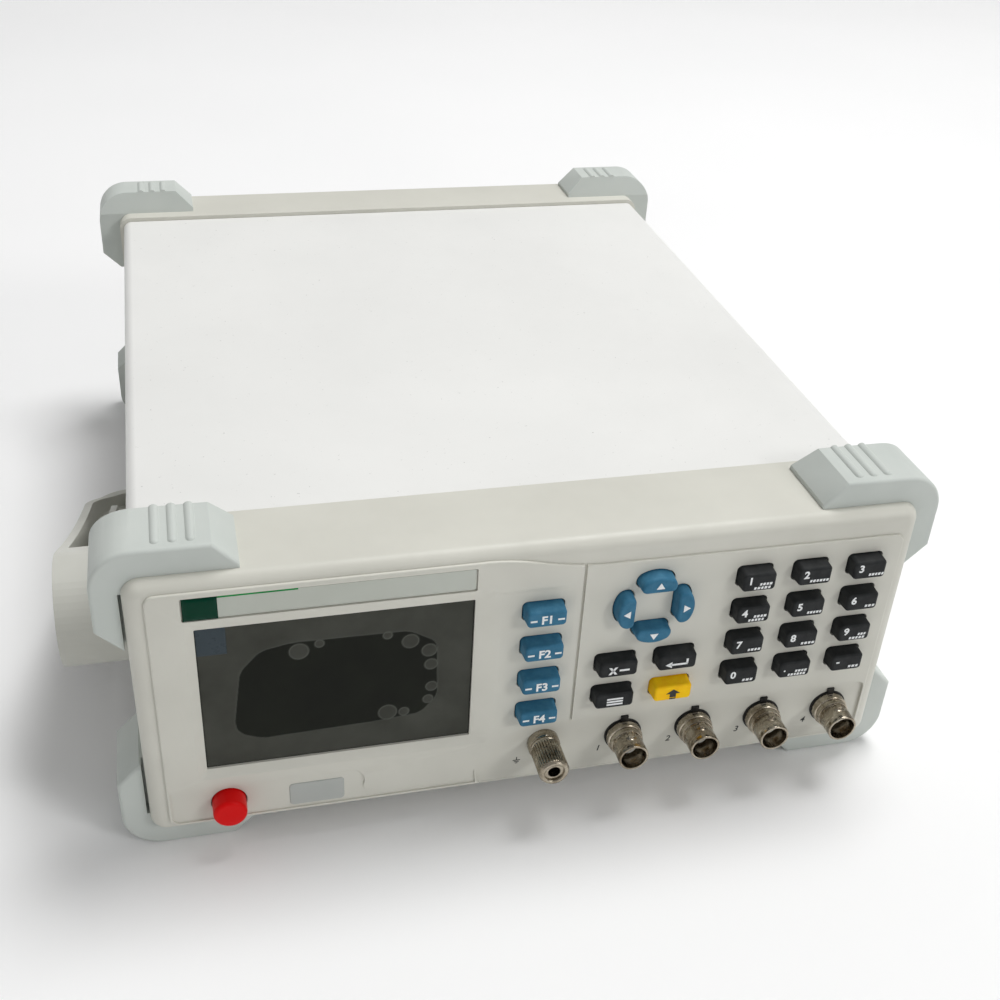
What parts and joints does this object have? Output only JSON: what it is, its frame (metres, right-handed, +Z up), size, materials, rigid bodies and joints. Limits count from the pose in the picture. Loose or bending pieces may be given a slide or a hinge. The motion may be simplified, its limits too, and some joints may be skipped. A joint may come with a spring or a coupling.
{
  "type": "component tester",
  "caption": "Bench LCR component tester: wide low case with corner guards, screen, keypad, coaxial test sockets, ground post and swinging carrying handle.",
  "frame": {"origin": "centre of the whole outline on the plane that the lower guards rest on", "axes": "+X to the right of the front panel, +Y to the rear, +Z up"},
  "size_m": [0.2786, 0.3084, 0.1089],
  "materials": {
    "panel_plastic": "fine-grained moulded ABS",
    "cover_paint": "satin powder coat",
    "tray_steel": "zinc-plated sheet with light paint",
    "rear_plate": "grey powder coat",
    "guard_plastic": "soft-touch moulded plastic",
    "screen_lens": "clear polished acrylic over a dark display",
    "screen_film": "thin peel-off film",
    "lcd_glass": "display glass and frame",
    "title_strip": "satin silver label plate",
    "frosted_window": "frosted translucent plastic",
    "circuit_board": "fibreglass board with solder mask",
    "switch_black": "moulded",
    "red_cap": "semi-gloss moulded",
    "nickel": "bright nickel plate",
    "white_insulator": "turned PTFE",
    "contact_brass": "plated brass",
    "black_washer": "moulded",
    "handle_plastic": "moulded ABS",
    "screw_steel": "zinc plated",
    "transformer_core": "varnished laminations and tape",
    "blue_key": "soft moulded silicone",
    "black_key": "soft moulded silicone",
    "yellow_key": "soft moulded silicone"
  },
  "bodies": {
    "case": {"front_bezel": "panel_plastic", "rear_frame": "panel_plastic", "rear_panel": "rear_plate", "top_cover": "cover_paint", "bottom_tray": "tray_steel", "guards_front_right": "guard_plastic", "guards_front_left": "guard_plastic", "guards_rear_right": "guard_plastic", "guards_rear_left": "guard_plastic", "screen_lens": "screen_lens", "screen_film": "screen_film", "lcd_module": "lcd_glass", "title_strip": "title_strip", "status_window": "frosted_window", "key_board": "circuit_board", "key_switches": "switch_black", "power_switch": "switch_black", "bnc_shells": "nickel", "bnc_insulators": "white_insulator", "bnc_contacts": "contact_brass", "bnc_washers": "black_washer", "bnc_nuts": "nickel", "post_stud": "nickel", "pivot_bosses": "handle_plastic", "pivot_screws": "screw_steel", "main_board": "circuit_board", "transformer": "transformer_core", "power_inlet": "switch_black", "inlet_pins": "contact_brass", "serial_port": "nickel", "screws_m3": "screw_steel"},
    "handle": {"handle_bail": "handle_plastic"},
    "key_function_1": {"key_function_1": "blue_key"},
    "key_function_2": {"key_function_2": "blue_key"},
    "key_function_3": {"key_function_3": "blue_key"},
    "key_function_4": {"key_function_4": "blue_key"},
    "key_escape": {"key_escape": "black_key"},
    "key_enter": {"key_enter": "black_key"},
    "key_set": {"key_set": "black_key"},
    "key_shift": {"key_shift": "yellow_key"},
    "key_1": {"key_1": "black_key"},
    "key_2": {"key_2": "black_key"},
    "key_3": {"key_3": "black_key"},
    "key_4": {"key_4": "black_key"},
    "key_5": {"key_5": "black_key"},
    "key_6": {"key_6": "black_key"},
    "key_7": {"key_7": "black_key"},
    "key_8": {"key_8": "black_key"},
    "key_9": {"key_9": "black_key"},
    "key_0": {"key_0": "black_key"},
    "key_point": {"key_point": "black_key"},
    "key_minus": {"key_minus": "black_key"},
    "key_up": {"key_up": "blue_key"},
    "key_left": {"key_left": "blue_key"},
    "key_down": {"key_down": "blue_key"},
    "key_right": {"key_right": "blue_key"},
    "mains_button": {"power_button": "red_cap", "power_plunger": "switch_black"},
    "post_collar": {"post_collar": "nickel"},
    "post_knob": {"post_knob": "nickel"}
  },
  "joints": [
    {"name": "handle_swing", "type": "hinge", "parent": "case", "child": "handle", "pos_m": [0, -0.0848, 0.05405], "axis": [-1, 0, 0], "range_deg": [0, 312]},
    {"name": "key_function_1_press", "type": "slide", "parent": "case", "child": "key_function_1", "axis": [0, 1, 0], "range_m": [0, 0.0012], "stiffness_N_per_m": 1000, "springref_m": -0.0002},
    {"name": "key_function_2_press", "type": "slide", "parent": "case", "child": "key_function_2", "axis": [0, 1, 0], "range_m": [0, 0.0012], "stiffness_N_per_m": 1000, "springref_m": -0.0002},
    {"name": "key_function_3_press", "type": "slide", "parent": "case", "child": "key_function_3", "axis": [0, 1, 0], "range_m": [0, 0.0012], "stiffness_N_per_m": 1000, "springref_m": -0.0002},
    {"name": "key_function_4_press", "type": "slide", "parent": "case", "child": "key_function_4", "axis": [0, 1, 0], "range_m": [0, 0.0012], "stiffness_N_per_m": 1000, "springref_m": -0.0002},
    {"name": "key_escape_press", "type": "slide", "parent": "case", "child": "key_escape", "axis": [0, 1, 0], "range_m": [0, 0.0012], "stiffness_N_per_m": 1000, "springref_m": -0.0002},
    {"name": "key_enter_press", "type": "slide", "parent": "case", "child": "key_enter", "axis": [0, 1, 0], "range_m": [0, 0.0012], "stiffness_N_per_m": 1000, "springref_m": -0.0002},
    {"name": "key_set_press", "type": "slide", "parent": "case", "child": "key_set", "axis": [0, 1, 0], "range_m": [0, 0.0012], "stiffness_N_per_m": 1000, "springref_m": -0.0002},
    {"name": "key_shift_press", "type": "slide", "parent": "case", "child": "key_shift", "axis": [0, 1, 0], "range_m": [0, 0.0012], "stiffness_N_per_m": 1000, "springref_m": -0.0002},
    {"name": "key_1_press", "type": "slide", "parent": "case", "child": "key_1", "axis": [0, 1, 0], "range_m": [0, 0.0012], "stiffness_N_per_m": 1000, "springref_m": -0.0002},
    {"name": "key_2_press", "type": "slide", "parent": "case", "child": "key_2", "axis": [0, 1, 0], "range_m": [0, 0.0012], "stiffness_N_per_m": 1000, "springref_m": -0.0002},
    {"name": "key_3_press", "type": "slide", "parent": "case", "child": "key_3", "axis": [0, 1, 0], "range_m": [0, 0.0012], "stiffness_N_per_m": 1000, "springref_m": -0.0002},
    {"name": "key_4_press", "type": "slide", "parent": "case", "child": "key_4", "axis": [0, 1, 0], "range_m": [0, 0.0012], "stiffness_N_per_m": 1000, "springref_m": -0.0002},
    {"name": "key_5_press", "type": "slide", "parent": "case", "child": "key_5", "axis": [0, 1, 0], "range_m": [0, 0.0012], "stiffness_N_per_m": 1000, "springref_m": -0.0002},
    {"name": "key_6_press", "type": "slide", "parent": "case", "child": "key_6", "axis": [0, 1, 0], "range_m": [0, 0.0012], "stiffness_N_per_m": 1000, "springref_m": -0.0002},
    {"name": "key_7_press", "type": "slide", "parent": "case", "child": "key_7", "axis": [0, 1, 0], "range_m": [0, 0.0012], "stiffness_N_per_m": 1000, "springref_m": -0.0002},
    {"name": "key_8_press", "type": "slide", "parent": "case", "child": "key_8", "axis": [0, 1, 0], "range_m": [0, 0.0012], "stiffness_N_per_m": 1000, "springref_m": -0.0002},
    {"name": "key_9_press", "type": "slide", "parent": "case", "child": "key_9", "axis": [0, 1, 0], "range_m": [0, 0.0012], "stiffness_N_per_m": 1000, "springref_m": -0.0002},
    {"name": "key_0_press", "type": "slide", "parent": "case", "child": "key_0", "axis": [0, 1, 0], "range_m": [0, 0.0012], "stiffness_N_per_m": 1000, "springref_m": -0.0002},
    {"name": "key_point_press", "type": "slide", "parent": "case", "child": "key_point", "axis": [0, 1, 0], "range_m": [0, 0.0012], "stiffness_N_per_m": 1000, "springref_m": -0.0002},
    {"name": "key_minus_press", "type": "slide", "parent": "case", "child": "key_minus", "axis": [0, 1, 0], "range_m": [0, 0.0012], "stiffness_N_per_m": 1000, "springref_m": -0.0002},
    {"name": "key_up_press", "type": "slide", "parent": "case", "child": "key_up", "axis": [0, 1, 0], "range_m": [0, 0.0012], "stiffness_N_per_m": 1000, "springref_m": -0.0002},
    {"name": "key_left_press", "type": "slide", "parent": "case", "child": "key_left", "axis": [0, 1, 0], "range_m": [0, 0.0012], "stiffness_N_per_m": 1000, "springref_m": -0.0002},
    {"name": "key_down_press", "type": "slide", "parent": "case", "child": "key_down", "axis": [0, 1, 0], "range_m": [0, 0.0012], "stiffness_N_per_m": 1000, "springref_m": -0.0002},
    {"name": "key_right_press", "type": "slide", "parent": "case", "child": "key_right", "axis": [0, 1, 0], "range_m": [0, 0.0012], "stiffness_N_per_m": 1000, "springref_m": -0.0002},
    {"name": "power_press", "type": "slide", "parent": "case", "child": "mains_button", "axis": [0, 1, 0], "range_m": [0, 0.003], "stiffness_N_per_m": 900, "springref_m": -0.0004},
    {"name": "post_travel", "type": "slide", "parent": "case", "child": "post_collar", "axis": [0, -1, 0], "range_m": [0, 0.0015]},
    {"name": "post_turn", "type": "hinge", "parent": "post_collar", "child": "post_knob", "pos_m": [0.00275, -0.1408, 0.0248], "axis": [0, -1, 0], "range_deg": [0, 720]}
  ],
  "couplings": [
    {"joint": "post_turn", "follows": "post_travel", "rad_per_m": 8377.6}
  ]
}
